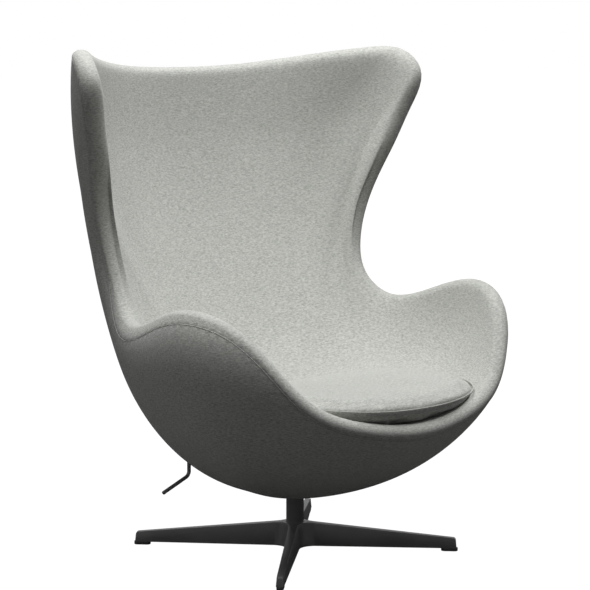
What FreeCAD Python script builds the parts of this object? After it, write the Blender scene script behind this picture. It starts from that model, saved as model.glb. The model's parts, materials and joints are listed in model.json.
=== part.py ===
import FreeCAD, Part
import math
import os
import Sketcher
from types import SimpleNamespace
from FreeCAD import Vector

# Swivel lounge chair with an egg-shaped upholstered shell on a four-star base.
# Millimetres. The floor is z = 0, the swivel axis is x = y = 0 and the sitter looks along -Y.

# Driving dimensions
DIMENSIONS = {
    # four-star base
    "tip_radius": 347, "leg_width_hub": 28, "leg_width_tip": 16.5, "leg_rise_hub": 51, "leg_rise_tip": 21,
    "leg_draft": 5, "leg_corner": 34, "tip_rounding": 6, "hub_flat": 24, "hub_floor": 8,
    "leg_hollow_width": 9, "leg_hollow_depth": 9,
    "glide_length": 36, "glide_width": 15, "glide_height": 7, "glide_overhang": 3,
    "glide_rounding": 1.4, "glide_seat": 3.5, "glide_head_height": 2.3,
    "glide_screw_diameter": 4.5, "glide_screw_head": 8, "glide_screw_length": 20,
    # column and its bolt
    "column_diameter": 38, "column_wall": 3.5, "column_length": 148,
    "bolt_diameter": 10, "bolt_head": 17, "bolt_head_height": 6, "bolt_length": 32,
    "washer_diameter": 24, "washer_thickness": 2, "recess_diameter": 30, "recess_depth": 9, "plug_length": 20,
    # swivel bearing
    "spindle_diameter": 24, "spindle_below": 4, "bush_length": 20, "bush_foot": 26, "flange_thickness": 2,
    "ring_below_bush": 1, "ring_thickness": 1.5, "ring_groove": 1, "ring_width": 3.5,
    # swivel head and its arms, measured from the tilt pivot
    "head_width": 58, "head_depth": 48, "head_below": 28.7, "head_above": 21, "spindle_socket": 17.7,
    "arm_width": 52, "front_arm": 88, "front_arm_height": 9, "arm_thickness": 12, "rear_arm": 60, "rear_arm_drop": 12,
    "stop_width": 40, "stop_depth": 14, "stop_place": 50, "stop_height": 22, "pad_thickness": 7,
    "rest_place": 52, "rest_depth": 12,
    "sector_radius": 57.3, "sector_width": 14, "sector_angle": 40, "sector_middle": 32,
    # tilt pivot
    "pin_diameter": 14, "pin_overhang": 2.7, "pivot_bush_wall": 2, "pivot_flange": 5,
    "clip_thickness": 1.2, "clip_width": 3.5, "clip_groove": 1,
    # tilt bracket
    "plate_drop": 37, "plate_thickness": 5, "plate_width": 144, "plate_front": 98, "plate_back": 62,
    "window_width": 60.4, "window_front": 34, "window_back": 40,
    "cheek_thickness": 6, "cheek_depth": 56, "cheek_top": 17,
    "fixing_spread": 120, "fixing_front": 80, "fixing_back": 50, "fixing_bolt": 8, "fixing_length": 19,
    "fixing_head": 13, "fixing_head_height": 5, "insert_diameter": 12, "insert_length": 14, "boss_diameter": 26,
    "fixing_overlap": 1,
    # tilt springs
    "spring_diameter": 20, "spring_wire": 3, "spring_spread": 26, "spring_place": 70, "spring_turns": 6,
    "post_diameter": 12, "post_height": 8,
    # egg-shaped shell, measured at the middle of the core
    "shell_width": 896, "shell_depth": 783, "shell_rise": 911, "shell_drop": 29,
    "core_thickness": 8, "rim_roll": 17, "cover_thickness": 1.4, "seam_diameter": 2.8,
    "bay_width": 190, "bay_front": 110, "bay_back": 100, "bay_height": 131, "bay_cover_thickness": 6, "bay_ledge": 7,
    "slot_width": 60, "slot_travel": 17, "trim_wall": 3, "trim_height": 28, "trim_proud": 1,
    # brake lever
    "lever_reach": 243, "lever_back": 55, "lever_above": 43, "rod_diameter": 8, "rod_drop": 64, "rod_bend": 14,
    "handle_reach": 68, "handle_drop": 29, "tube_wall": 2.7, "cam_radius": 12, "cam_throw": 1, "cam_width": 12,
    "lever_slot_width": 16, "lever_slot_travel": 32, "pocket_width": 34, "pocket_depth": 36, "pocket_height": 43,
    "pocket_above": 8.5, "pocket_end": 1, "inner_bend": 12,
    # seat cushion
    "cushion_width": 516, "cushion_front": 240, "cushion_back": 195, "cushion_place": 155, "cushion_height": 210,
    "cushion_thickness": 31, "cushion_crown": 7, "cushion_belly": 6, "cushion_sides_up": 22, "cushion_slope": 0.05,
    # clearances
    "running_gap": 0.05, "face_gap": 0.3, "soft_gap": 0.3,
    # how far a cut runs on past the face it opens
    "cut_past": 1,
}

doc = FreeCAD.newDocument("lounge_chair")
sheet = doc.addObject("Spreadsheet::Sheet", "sizes")
for row, (alias, number) in enumerate(DIMENSIONS.items(), 1):
    sheet.set("A%d" % row, alias)
    sheet.set("B%d" % row, str(number))
    sheet.setAlias("B%d" % row, alias)
doc.recompute()


# A length keeps its number and the sheet expression that gives it
class Length:
    def __init__(self, text, number):
        self.text = text
        self.number = float(number)

    def join(self, other, sign, number):
        return Length("(%s %s %s)" % (self.text, sign, asLength(other).text), number)

    def __add__(self, other):
        return self.join(other, "+", self.number + float(other))

    def __sub__(self, other):
        return self.join(other, "-", self.number - float(other))

    def __mul__(self, other):
        return self.join(other, "*", self.number * float(other))

    def __truediv__(self, other):
        return self.join(other, "/", self.number / float(other))

    def __radd__(self, other):
        return asLength(other) + self

    def __rsub__(self, other):
        return asLength(other) - self

    def __rmul__(self, other):
        return self * other

    def __neg__(self):
        return Length("(-1 * %s)" % self.text, -self.number)

    def __float__(self):
        return self.number


def asLength(value):
    return value if isinstance(value, Length) else Length("(%s)" % value, value)


d = SimpleNamespace(**{a: Length("sizes." + a, getattr(sheet, a)) for a in DIMENSIONS})
ZERO = asLength(0)
nodes = []


def bind(thing, prop, value):
    thing.setExpression(prop, asLength(value).text)


def newBody(label, place=(0, 0, 0), turn=0):
    body = doc.addObject("PartDesign::Body", label)
    body.Placement = FreeCAD.Placement(Vector(), FreeCAD.Rotation(Vector(0, 0, 1), turn))
    for axis, value in zip("xyz", place):
        bind(body, ".Placement.Base." + axis, value)
    nodes.append(body)
    return body


def newSketch(body, name, plane, height=0, tilt=0):
    sketch = body.newObject("Sketcher::SketchObject", body.Name + "_" + name)
    origin = [o for o in body.Origin.OriginFeatures if o.Role == plane + "_Plane"][0]
    sketch.AttachmentSupport = [(origin, "")]
    sketch.MapMode = "FlatFace"
    sketch.AttachmentOffset = FreeCAD.Placement(Vector(), FreeCAD.Rotation(Vector(1, 0, 0), tilt))
    bind(sketch, ".AttachmentOffset.Base.z", height)
    return sketch


def fixPoint(sketch, item, point, place):
    for kind, value in zip(("DistanceX", "DistanceY"), place):
        value = asLength(value)
        index = sketch.addConstraint(Sketcher.Constraint(kind, -1, 1, item, point, value.number))
        bind(sketch, "Constraints[%d]" % index, value)


# Closed outline of straight lines through the corners
def drawOutline(sketch, corners):
    first = sketch.GeometryCount
    spots = [Vector(float(x), float(y), 0) for x, y in corners]
    for k, spot in enumerate(spots):
        sketch.addGeometry(Part.LineSegment(spot, spots[(k + 1) % len(spots)]), False)
    for k, corner in enumerate(corners):
        after = first + (k + 1) % len(corners)
        sketch.addConstraint(Sketcher.Constraint("Coincident", first + k, 2, after, 1))
        fixPoint(sketch, first + k, 1, corner)


def drawCircle(sketch, middle, diameter):
    circle = Part.Circle(Vector(float(middle[0]), float(middle[1]), 0), Vector(0, 0, 1), float(diameter) / 2)
    item = sketch.addGeometry(circle, False)
    fixPoint(sketch, item, 3, middle)
    index = sketch.addConstraint(Sketcher.Constraint("Diameter", item, float(diameter)))
    bind(sketch, "Constraints[%d]" % index, diameter)


# Oval with round ends about two points on a line along the sketch's first or second axis
def drawOval(sketch, start, end, radius):
    a = Vector(float(start[0]), float(start[1]), 0)
    b = Vector(float(end[0]), float(end[1]), 0)
    along = math.atan2(b.y - a.y, b.x - a.x)
    side = Vector(-math.sin(along), math.cos(along), 0) * float(radius)
    items = []
    for middle, turn in ((a, along + math.pi / 2), (b, along - math.pi / 2)):
        arc = Part.ArcOfCircle(Part.Circle(middle, Vector(0, 0, 1), float(radius)), turn, turn + math.pi)
        items.append(sketch.addGeometry(arc, False))
    items.append(sketch.addGeometry(Part.LineSegment(a - side, b - side), False))
    items.append(sketch.addGeometry(Part.LineSegment(b + side, a + side), False))
    first, second, under, over = items
    for one, two in ((first, under), (under, second), (second, over), (over, first)):
        sketch.addConstraint(Sketcher.Constraint("Tangent", one, 2, two, 1))
    fixPoint(sketch, first, 3, start)
    fixPoint(sketch, second, 3, end)
    index = sketch.addConstraint(Sketcher.Constraint("Radius", first, float(radius)))
    bind(sketch, "Constraints[%d]" % index, radius)


def pad(body, sketch, length, both=False, taper=0, reverse=False):
    feature = body.newObject("PartDesign::Pad", sketch.Name + "_pad")
    feature.Profile = sketch
    bind(feature, "Length", length)
    feature.Midplane = both
    feature.Reversed = reverse
    if taper:
        bind(feature, "TaperAngle", taper)
    sketch.Visibility = False
    doc.recompute()
    return feature


def pocket(body, sketch, length, both=False, reverse=False):
    feature = body.newObject("PartDesign::Pocket", sketch.Name + "_pocket")
    feature.Profile = sketch
    bind(feature, "Length", length)
    feature.Midplane = both
    feature.Reversed = reverse
    doc.recompute()
    return feature


def revolve(body, sketch, axis, kind="Revolution", angle=360, both=False):
    feature = body.newObject("PartDesign::" + kind, sketch.Name + "_turned")
    feature.Profile = sketch
    feature.ReferenceAxis = (sketch, [axis])
    bind(feature, "Angle", angle)
    feature.Midplane = both
    doc.recompute()
    return feature


def roundEdges(body, feature, radius, wanted):
    names = ["Edge%d" % (k + 1) for k, edge in enumerate(feature.Shape.Edges) if wanted(edge)]
    rounding = body.newObject("PartDesign::Fillet", feature.Name + "_round")
    rounding.Base = (feature, names)
    bind(rounding, "Radius", radius)
    doc.recompute()
    return rounding


# Piece turned about the vertical axis, from its half section of (radius, height)
def turnedUpright(label, section, place=(0, 0, 0)):
    body = newBody(label, place)
    sketch = newSketch(body, "section", "XZ")
    drawOutline(sketch, section)
    revolve(body, sketch, "V_Axis")
    return body


# Piece turned about an axis along X, from its half section of (distance along X, radius)
def turnedAcross(label, sections, place):
    body = newBody(label, place)
    sketch = newSketch(body, "section", "XZ")
    for section in sections:
        drawOutline(sketch, section)
    revolve(body, sketch, "H_Axis")
    return body


def ring(inner, outer, low, high):
    return ((inner, low), (outer, low), (outer, high), (inner, high))


# Heights that follow from the driving dimensions
legBottom = d.glide_height
hubFloor = legBottom + d.recess_depth
columnFoot = hubFloor + d.hub_floor
columnTop = columnFoot + d.column_length
flangeTop = columnTop + d.flange_thickness
thrustTop = flangeTop + d.washer_thickness
headBottom = thrustTop + d.face_gap
pivotHeight = headBottom + d.head_below
plateBottom = pivotHeight - d.plate_drop
shellBottom = plateBottom - d.shell_drop
spindleRadius = d.spindle_diameter / 2
columnRadius = d.column_diameter / 2
columnBore = columnRadius - d.column_wall
boltRadius = d.bolt_diameter / 2
spindleBottom = columnFoot + d.plug_length + d.washer_thickness


# Base: one casting, four tapered legs that fall away from the hub
def makeStarBase():
    body = newBody("star_base", (0, 0, 0), 45)
    halfTip = d.leg_width_tip / 2
    inside = d.leg_width_hub / 2
    corners = []
    for quarter in range(4):
        for along, across in ((inside, -inside), (d.tip_radius, -halfTip), (d.tip_radius, halfTip)):
            x, y = along, across
            for turn in range(quarter):
                x, y = -y, x
            corners.append((x, y))
    legs = newSketch(body, "legs", "XY", legBottom)
    drawOutline(legs, corners)
    solid = pad(body, legs, d.leg_rise_hub, taper=-d.leg_draft)

    def between(edge):
        upright = abs(edge.Vertexes[0].Z - edge.Vertexes[-1].Z) > float(d.leg_rise_hub) / 2
        middle = edge.CenterOfMass
        return upright and math.hypot(middle.x, middle.y) < float(d.tip_radius) / 4
    corner = roundEdges(body, solid, d.leg_corner, between)
    slope = newSketch(body, "slope", "XZ")
    top = legBottom + d.leg_rise_hub
    beyond = d.tip_radius + d.leg_width_hub
    fall = (d.leg_rise_hub - d.leg_rise_tip) / (d.tip_radius - d.hub_flat)
    low = top - fall * (beyond - d.hub_flat)
    above = top + d.leg_rise_tip
    drawOutline(slope, ((d.hub_flat, top), (beyond, low), (beyond, above), (d.hub_flat, above)))
    revolve(body, slope, "V_Axis", "Groove")
    tipTop = float(legBottom + d.leg_rise_tip)

    def tipEdge(edge):
        middle = edge.CenterOfMass
        far = math.hypot(middle.x, middle.y) > float(d.tip_radius) - float(d.tip_rounding)
        return far and abs(middle.z - tipTop) < 2 and edge.Length < float(d.leg_width_tip)
    roundEdges(body, body.Tip, d.tip_rounding, tipEdge)
    bore = newSketch(body, "bore", "XY", columnFoot)
    drawCircle(bore, (0, 0), d.column_diameter + d.running_gap)
    pocket(body, bore, d.leg_rise_hub, reverse=True)
    recess = newSketch(body, "recess", "XY", legBottom)
    drawCircle(recess, (0, 0), d.recess_diameter)
    pocket(body, recess, d.recess_depth, reverse=True)
    hole = newSketch(body, "bolt_hole", "XY", legBottom)
    drawCircle(hole, (0, 0), d.bolt_diameter + 2 * d.face_gap)
    pocket(body, hole, d.recess_depth + d.hub_floor + d.cut_past, reverse=True)
    hollow = newSketch(body, "hollows", "XY", legBottom)
    near = d.recess_diameter / 2 + d.leg_width_hub / 2
    far = d.tip_radius - d.glide_length - d.leg_width_tip / 2
    half = d.leg_hollow_width / 2
    for quarter in range(4):
        box = []
        for x, y in ((near, -half), (far, -half), (far, half), (near, half)):
            for turn in range(quarter):
                x, y = -y, x
            box.append((x, y))
        drawOutline(hollow, box)
    pocket(body, hollow, d.leg_hollow_depth, reverse=True)
    holes = newSketch(body, "screw_holes", "XY", legBottom)
    for x, y in glidePlaces():
        drawCircle(holes, (x, y), d.glide_screw_diameter + d.running_gap)
    pocket(body, holes, d.glide_screw_length - d.glide_seat + d.cut_past, reverse=True)


# Glide screws, in the leg's own directions
def glidePlaces():
    reach = d.tip_radius + d.glide_overhang - d.glide_length / 2
    return ((reach, ZERO), (ZERO, reach), (-reach, ZERO), (ZERO, -reach))


def makeGlides():
    names = ("glide_back_left", "glide_back_right", "glide_front_right", "glide_front_left")
    for quarter, name in enumerate(names):
        body = newBody(name, (0, 0, 0), 45 + 90 * quarter)
        radius = d.glide_width / 2
        middle = d.tip_radius + d.glide_overhang - d.glide_length / 2
        reach = d.glide_length / 2 - radius
        oval = newSketch(body, "oval", "XY")
        drawOval(oval, (middle - reach, 0), (middle + reach, 0), radius)
        pad(body, oval, d.glide_height)
        roundEdges(body, body.Tip, d.glide_rounding, lambda edge: edge.BoundBox.ZMax < 0.01)
        sink = newSketch(body, "screw_seat", "XY")
        drawCircle(sink, (middle, 0), d.glide_screw_head + 2 * d.face_gap)
        pocket(body, sink, d.glide_seat, reverse=True)
        hole = newSketch(body, "screw_hole", "XY")
        drawCircle(hole, (middle, 0), d.glide_screw_diameter + d.running_gap)
        pocket(body, hole, d.glide_height, reverse=True)
    screws = newBody("glide_screws", (0, 0, 0), 45)
    heads = newSketch(screws, "heads", "XY", d.glide_seat)
    shanks = newSketch(screws, "shanks", "XY", d.glide_seat)
    for place in glidePlaces():
        drawCircle(heads, place, d.glide_screw_head)
        drawCircle(shanks, place, d.glide_screw_diameter)
    pad(screws, heads, d.glide_head_height, reverse=True)
    pad(screws, shanks, d.glide_screw_length - d.glide_seat)


def makeColumn():
    turnedUpright("column_tube", ring(columnBore, columnRadius, columnFoot, columnTop))
    plug = ring(boltRadius + d.running_gap, columnBore - d.running_gap, columnFoot, columnFoot + d.plug_length)
    turnedUpright("column_plug", plug)
    washerBottom = hubFloor - d.washer_thickness
    head = d.bolt_head / 2
    headLow = washerBottom - d.bolt_head_height
    bolt = ((ZERO, headLow), (head, headLow), (head, washerBottom), (boltRadius, washerBottom),
            (boltRadius, headLow + d.bolt_length), (ZERO, headLow + d.bolt_length))
    turnedUpright("base_bolt", bolt)
    turnedUpright("base_washer", ring(boltRadius + d.face_gap, d.washer_diameter / 2, washerBottom, hubFloor))
    bushBore = spindleRadius + d.running_gap
    bushOut = columnBore - d.running_gap
    lower = columnFoot + d.bush_foot
    turnedUpright("column_bush_lower", ring(bushBore, bushOut, lower, lower + d.bush_length))
    low = columnTop - d.bush_length
    upper = ((bushBore, low), (bushOut, low), (bushOut, columnTop), (columnRadius, columnTop),
             (columnRadius, flangeTop), (bushBore, flangeTop))
    turnedUpright("column_bush_upper", upper)
    turnedUpright("thrust_washer", ring(spindleRadius + d.face_gap, columnRadius, flangeTop, thrustTop))


# Swivel spindle, its retaining ring and the head it carries
def makeSpindle():
    ringTop = columnFoot + d.bush_foot - d.ring_below_bush
    ringLow = ringTop - d.ring_thickness
    grooveRadius = spindleRadius - d.ring_groove
    socket = headBottom + d.spindle_socket
    spindle = ((ZERO, spindleBottom), (spindleRadius, spindleBottom), (spindleRadius, ringLow), (grooveRadius, ringLow),
               (grooveRadius, ringTop), (spindleRadius, ringTop), (spindleRadius, socket), (ZERO, socket))
    turnedUpright("spindle", spindle)
    turnedUpright("retaining_ring", ring(grooveRadius, grooveRadius + d.ring_width, ringLow, ringTop))


def slab(body, name, plane, height, corners, thickness, both=False, reverse=False):
    sketch = newSketch(body, name, plane, height)
    drawOutline(sketch, corners)
    return pad(body, sketch, thickness, both, 0, reverse)


def box(x0, x1, y0, y1):
    return ((x0, y0), (x1, y0), (x1, y1), (x0, y1))


def springPlaces():
    across = d.spring_spread / 2
    return ((across, -d.spring_place), (-across, -d.spring_place))


def makeSwivelHead():
    body = newBody("swivel_head", (0, 0, pivotHeight))
    halfDepth = d.head_depth / 2
    slab(body, "block", "YZ", 0, box(-halfDepth, halfDepth, -d.head_below, d.head_above), d.head_width, True)
    armTop = d.front_arm_height + d.arm_thickness
    front = box(-d.front_arm, -halfDepth, d.front_arm_height, armTop)
    slab(body, "front_arm", "YZ", 0, front, d.arm_width, True)
    rear = box(halfDepth, d.rear_arm, -d.rear_arm_drop - d.arm_thickness, -d.rear_arm_drop)
    slab(body, "rear_arm", "YZ", 0, rear, d.arm_width, True)
    halfStop = d.stop_depth / 2
    stopLow = d.front_arm_height - d.stop_height
    stop = box(-d.stop_place - halfStop, -d.stop_place + halfStop, stopLow, d.front_arm_height)
    slab(body, "stop_lug", "YZ", 0, stop, d.stop_width, True)
    sector = newSketch(body, "brake_sector", "XZ", 0, -90 + float(d.sector_middle))
    bind(sector, ".AttachmentOffset.Rotation.Angle", d.sector_middle - 90)
    outside = -d.head_width / 2
    drawOutline(sector, box(outside, outside + d.sector_width, halfDepth / 2, d.sector_radius))
    revolve(body, sector, "H_Axis", "Revolution", d.sector_angle, True)
    posts = newSketch(body, "spring_posts", "XY", d.front_arm_height)
    for place in springPlaces():
        drawCircle(posts, place, d.post_diameter)
    pad(body, posts, d.post_height, reverse=True)
    socket = newSketch(body, "spindle_socket", "XY", -d.head_below)
    drawCircle(socket, (0, 0), d.spindle_diameter)
    pocket(body, socket, d.spindle_socket, reverse=True)
    bore = newSketch(body, "pin_bore", "YZ")
    drawCircle(bore, (0, 0), d.pin_diameter)
    pocket(body, bore, d.head_width + 2 * d.cut_past, True)


def makeHeadPads():
    stopBottom = pivotHeight + d.front_arm_height - d.stop_height
    halfStop = d.stop_width / 2
    body = newBody("back_stop_pad", (0, -d.stop_place, stopBottom))
    outline = box(-halfStop, halfStop, -d.stop_depth / 2, d.stop_depth / 2)
    slab(body, "pad", "XY", 0, outline, d.pad_thickness, reverse=True)
    restTop = pivotHeight - d.rear_arm_drop - d.arm_thickness
    restHeight = restTop - plateBottom - d.plate_thickness - d.face_gap
    body = newBody("rest_pad", (0, d.rest_place, restTop))
    outline = box(-halfStop, halfStop, -d.rest_depth / 2, d.rest_depth / 2)
    slab(body, "pad", "XY", 0, outline, restHeight, reverse=True)


# Tilt pivot: the pin turns in two flanged bushes in the bracket's cheeks
pivot = (0, 0, pivotHeight)
cheekInside = d.head_width / 2 + d.face_gap + d.pivot_bush_wall
cheekOutside = cheekInside + d.cheek_thickness
pinRadius = d.pin_diameter / 2


def makePivot():
    clipStart = cheekOutside + d.face_gap
    clipEnd = clipStart + d.clip_thickness
    end = cheekOutside + d.pin_overhang
    groove = pinRadius - d.clip_groove
    half = ((end, ZERO), (end, pinRadius), (clipEnd, pinRadius), (clipEnd, groove), (clipStart, groove),
            (clipStart, pinRadius))
    turnedAcross("pivot_pin", [half + tuple((-x, r) for x, r in reversed(half))], pivot)
    clip = ring(clipStart, clipEnd, groove, groove + d.clip_width)
    turnedAcross("pivot_clips", [clip, tuple((-x, r) for x, r in clip)], pivot)
    bore = pinRadius + d.running_gap
    out = pinRadius + d.pivot_bush_wall
    start = d.head_width / 2 + d.face_gap
    bush = ((start, bore), (cheekOutside, bore), (cheekOutside, out), (cheekInside, out),
            (cheekInside, pinRadius + d.pivot_flange), (start, pinRadius + d.pivot_flange))
    turnedAcross("pivot_bushes", [bush, tuple((-x, r) for x, r in bush)], pivot)


def fixingPlaces():
    half = d.fixing_spread / 2
    return [(x, y) for x in (half, -half) for y in (-d.fixing_front, d.fixing_back)]


def makeTiltBracket():
    body = newBody("tilt_bracket", pivot)
    half = d.plate_width / 2
    slab(body, "plate", "XY", -d.plate_drop, box(-half, half, -d.plate_front, d.plate_back), d.plate_thickness)
    top = -d.plate_drop + d.plate_thickness
    halfCheek = d.cheek_depth / 2
    shoulder = halfCheek / 2
    plain = ((-halfCheek, top), (halfCheek, top), (halfCheek, ZERO), (shoulder, d.cheek_top), (-shoulder, d.cheek_top),
             (-halfCheek, ZERO))
    slab(body, "cheek", "YZ", cheekInside, plain, d.cheek_thickness)
    leverTop = d.lever_above + d.cam_radius
    leverBack = d.lever_back + d.cam_radius
    leverFront = d.lever_back - d.cam_radius
    tall = ((-halfCheek, top), (d.plate_back, top), (leverBack, d.lever_above), (leverBack, leverTop),
            (leverFront, leverTop), (shoulder, d.cheek_top), (-shoulder, d.cheek_top), (-halfCheek, ZERO))
    slab(body, "lever_cheek", "YZ", -cheekOutside, tall, d.cheek_thickness)
    posts = newSketch(body, "spring_posts", "XY", top)
    for place in springPlaces():
        drawCircle(posts, place, d.post_diameter)
    pad(body, posts, d.post_height)
    window = newSketch(body, "window", "XY", -d.plate_drop)
    halfWindow = d.window_width / 2
    drawOutline(window, box(-halfWindow, halfWindow, -d.window_front, d.window_back))
    pocket(body, window, d.plate_thickness, reverse=True)
    bolts = newSketch(body, "bolt_holes", "XY", -d.plate_drop)
    for place in fixingPlaces():
        drawCircle(bolts, place, d.fixing_bolt + d.face_gap)
    pocket(body, bolts, d.plate_thickness, reverse=True)
    bores = newSketch(body, "pivot_bores", "YZ")
    drawCircle(bores, (0, 0), 2 * d.pivot_bush_wall + d.pin_diameter)
    pocket(body, bores, 2 * cheekOutside + 2 * d.cut_past, True)
    lever = newSketch(body, "lever_bore", "YZ", -cheekOutside)
    drawCircle(lever, (d.lever_back, d.lever_above), d.rod_diameter + 2 * d.running_gap)
    pocket(body, lever, d.cheek_thickness, reverse=True)


def makeFixings():
    insertBottom = plateBottom - d.insert_length
    headTop = plateBottom + d.plate_thickness
    bolts = newBody("bracket_bolts")
    heads = newSketch(bolts, "heads", "XY", headTop)
    shanks = newSketch(bolts, "shanks", "XY", headTop)
    for place in fixingPlaces():
        drawCircle(heads, place, d.fixing_head)
        drawCircle(shanks, place, d.fixing_bolt)
    pad(bolts, heads, d.fixing_head_height)
    pad(bolts, shanks, d.fixing_length - d.fixing_overlap, reverse=True)
    inserts = newBody("threaded_inserts")
    rings = newSketch(inserts, "rings", "XY", insertBottom)
    for place in fixingPlaces():
        drawCircle(rings, place, d.insert_diameter)
    pad(inserts, rings, d.insert_length)
    holes = newSketch(inserts, "threads", "XY", insertBottom)
    for place in fixingPlaces():
        drawCircle(holes, place, d.fixing_bolt + d.running_gap)
    pocket(inserts, holes, d.insert_length, reverse=True)


def addShape(label, shape):
    node = doc.addObject("Part::Feature", label)
    node.Shape = shape
    node.Placement = FreeCAD.Placement()
    nodes.append(node)
    return node


# Two circular arcs that join two points with given directions
def biarc(start, startWay, end, endWay):
    chord = end - start
    ways = startWay + endWay
    a = 2 * (1 - startWay.dot(endWay))
    b = 2 * chord.dot(ways)
    reach = (-b + math.sqrt(b * b + 4 * a * chord.dot(chord))) / (2 * a)
    one = start + startWay * reach
    two = end - endWay * reach
    joint = (one + two) * 0.5
    edges = []
    for p, q, corner in ((start, joint, one), (joint, end, two)):
        middle = (p + q) * 0.5
        out = corner - middle
        half = (q - p).Length / 2
        rise = half * math.tan(math.atan2(out.Length, half) / 2)
        edges.append(Part.Arc(p, middle + out.normalize() * rise, q).toShape())
    return edges


# Helical wire spring between the bracket plate and the head's front arm
def makeTiltSprings():
    wire = float(d.spring_wire)
    radius = float(d.spring_diameter) / 2 - wire / 2
    low = float(plateBottom + d.plate_thickness + d.face_gap) + wire / 2
    high = float(pivotHeight + d.front_arm_height - d.face_gap) - wire / 2
    quarters = int(4 * float(d.spring_turns))
    climb = (high - low) / quarters
    for side, name in ((1, "tilt_spring_left"), (-1, "tilt_spring_right")):
        middle = Vector(side * float(d.spring_spread) / 2, -float(d.spring_place), low)
        spots = []
        ways = []
        for k in range(quarters + 1):
            angle = k * math.pi / 2
            spots.append(middle + Vector(radius * math.cos(angle), radius * math.sin(angle), climb * k))
            way = Vector(-radius * math.sin(angle) * math.pi / 2, radius * math.cos(angle) * math.pi / 2, climb)
            ways.append(way.normalize())
        edges = []
        for k in range(quarters):
            edges += biarc(spots[k], ways[k], spots[k + 1], ways[k + 1])
        circle = Part.Wire(Part.Circle(spots[0], ways[0], wire / 2).toShape())
        addShape(name, Part.Wire(edges).makePipeShell([circle], True, False))
    print("spring: least gap between turns %.2f mm" % (4 * climb - wire))


# The egg. Half of the rim from the top of the back to the front lip, drawn at its real size
# and mirrored; each point is the centre of the rim's padded roll.
DRAWN_WIDTH = 896
DRAWN_DEPTH = 783
DRAWN_RISE = 911
DRAWN_BOTTOM = 139
RIM = (
    (0, 400, 1005), (150, 387, 1010), (290, 315, 1030), (390, 215, 1050), (436, 150, 1044), (448, 112, 1002),
    (430, 124, 930), (402, 150, 845), (372, 182, 755), (340, 195, 640), (333, 172, 555), (352, 110, 500),
    (382, -45, 525), (388, -150, 548), (365, -230, 528), (315, -297, 455), (240, -342, 370), (120, -372, 325),
    (0, -383, 312),
)
# Every second rim point, the first and the last carry two handles that bend the section below the rim:
# one point under the rim, and the plan place of one level with the section's lowest point
HANDLE_POINTS = (0, 2, 4, 6, 8, 10, 12, 14, 16, 18)
CORE_HANDLES = (
    ((0, 395, 670), (0, 270)), ((230, 380, 700), (130, 255)), ((320, 390, 750), (205, 215)),
    ((320, 375, 730), (270, 180)), ((320, 315, 615), (305, 125)), ((360, 190, 480), (315, 60)),
    ((445, -40, 430), (290, -40)), ((435, -220, 420), (285, -140)), ((230, -295, 290), (170, -185)),
    ((0, -335, 270), (0, -225)),
)
SEAT_HANDLES = (
    ((0, 393, 660), (0, 189)), ((226, 379, 681), (112, 187)), ((291, 400, 745), (177, 195)),
    ((307, 352, 698), (235, 173)), ((300, 271, 611), (285, 131)), ((307, 162, 494), (286, 66)),
    ((360, -46, 427), (302, -40)), ((346, -196, 416), (307, -152)), ((219, -288, 335), (199, -244)),
    ((0, -321, 303), (0, -222)),
)
CORE_BOTTOM = (0, 0, DRAWN_BOTTOM)
SEAT_BOTTOM = (0, -60, 291)
# Levels between the rim (0) and the lowest point (1) at which a section ring is laid
LEVELS = (0, 0.015, 0.04, 0.08, 0.14, 0.21, 0.29, 0.38, 0.47, 0.56, 0.65, 0.74, 0.83, 0.91)
LAST_LEVEL = 0.965


def onShell(x, y, z):
    wide = x * float(d.shell_width) / DRAWN_WIDTH
    deep = y * float(d.shell_depth) / DRAWN_DEPTH
    high = float(shellBottom) + (z - DRAWN_BOTTOM) * float(d.shell_rise) / DRAWN_RISE
    return Vector(wide, deep, high)


def bothSides(half):
    spots = [onShell(*p) for p in half]
    return spots + [Vector(-p.x, p.y, p.z) for p in spots[-2:0:-1]]


def closedCurve(spots, marks):
    curve = Part.BSplineCurve()
    curve.interpolate(Points=spots, PeriodicFlag=True, Parameters=marks)
    return curve


rimSpots = bothSides(RIM)
rimMarks = [0.0]
for here, there in zip(rimSpots, rimSpots[1:] + rimSpots[:1]):
    rimMarks.append(rimMarks[-1] + (there - here).Length)
rimLength = rimMarks[-1]
rimCurve = closedCurve(rimSpots, rimMarks)
handleMarks = [rimMarks[k] for k in HANDLE_POINTS]
handleMarks += [rimLength - mark for mark in handleMarks[-2:0:-1]] + [rimLength]


# One surface of the egg: a cubic section from each rim point to the lowest point
class Surface:
    def __init__(self, handles, bottom):
        self.bottom = onShell(*bottom)
        level = bottom[2]
        self.near = closedCurve(bothSides([a for a, b in handles]), handleMarks)
        self.far = closedCurve(bothSides([(b[0], b[1], level) for a, b in handles]), handleMarks)

    def point(self, mark, down):
        mark = mark % rimLength
        up = 1 - down
        near = self.near.value(mark) * (3 * up * up * down)
        far = self.far.value(mark) * (3 * up * down * down)
        return rimCurve.value(mark) * up ** 3 + near + far + self.bottom * down ** 3

    # Direction square to the surface, away from the sitter
    def outward(self, mark, down):
        along = self.point(mark + 1, down) - self.point(mark - 1, down)
        below = self.point(mark, min(down + 0.002, 1)) - self.point(mark, max(down - 0.002, 0))
        return along.cross(below).normalize()

    # Level that lies a given distance below the rim
    def level(self, mark, distance):
        return distance / (3 * (self.near.value(mark) - rimCurve.value(mark)).Length)

    def spot(self, mark, down, offset, start=0):
        first = self.level(mark, start)
        down = first + (1 - first) * down
        return self.point(mark, down) + self.outward(mark, down) * offset


coreSurface = Surface(CORE_HANDLES, CORE_BOTTOM)
seatSurface = Surface(SEAT_HANDLES, SEAT_BOTTOM)


def ringWire(place):
    return Part.Wire(closedCurve([place(mark) for mark in rimMarks[:-1]], rimMarks).toShape())


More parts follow.
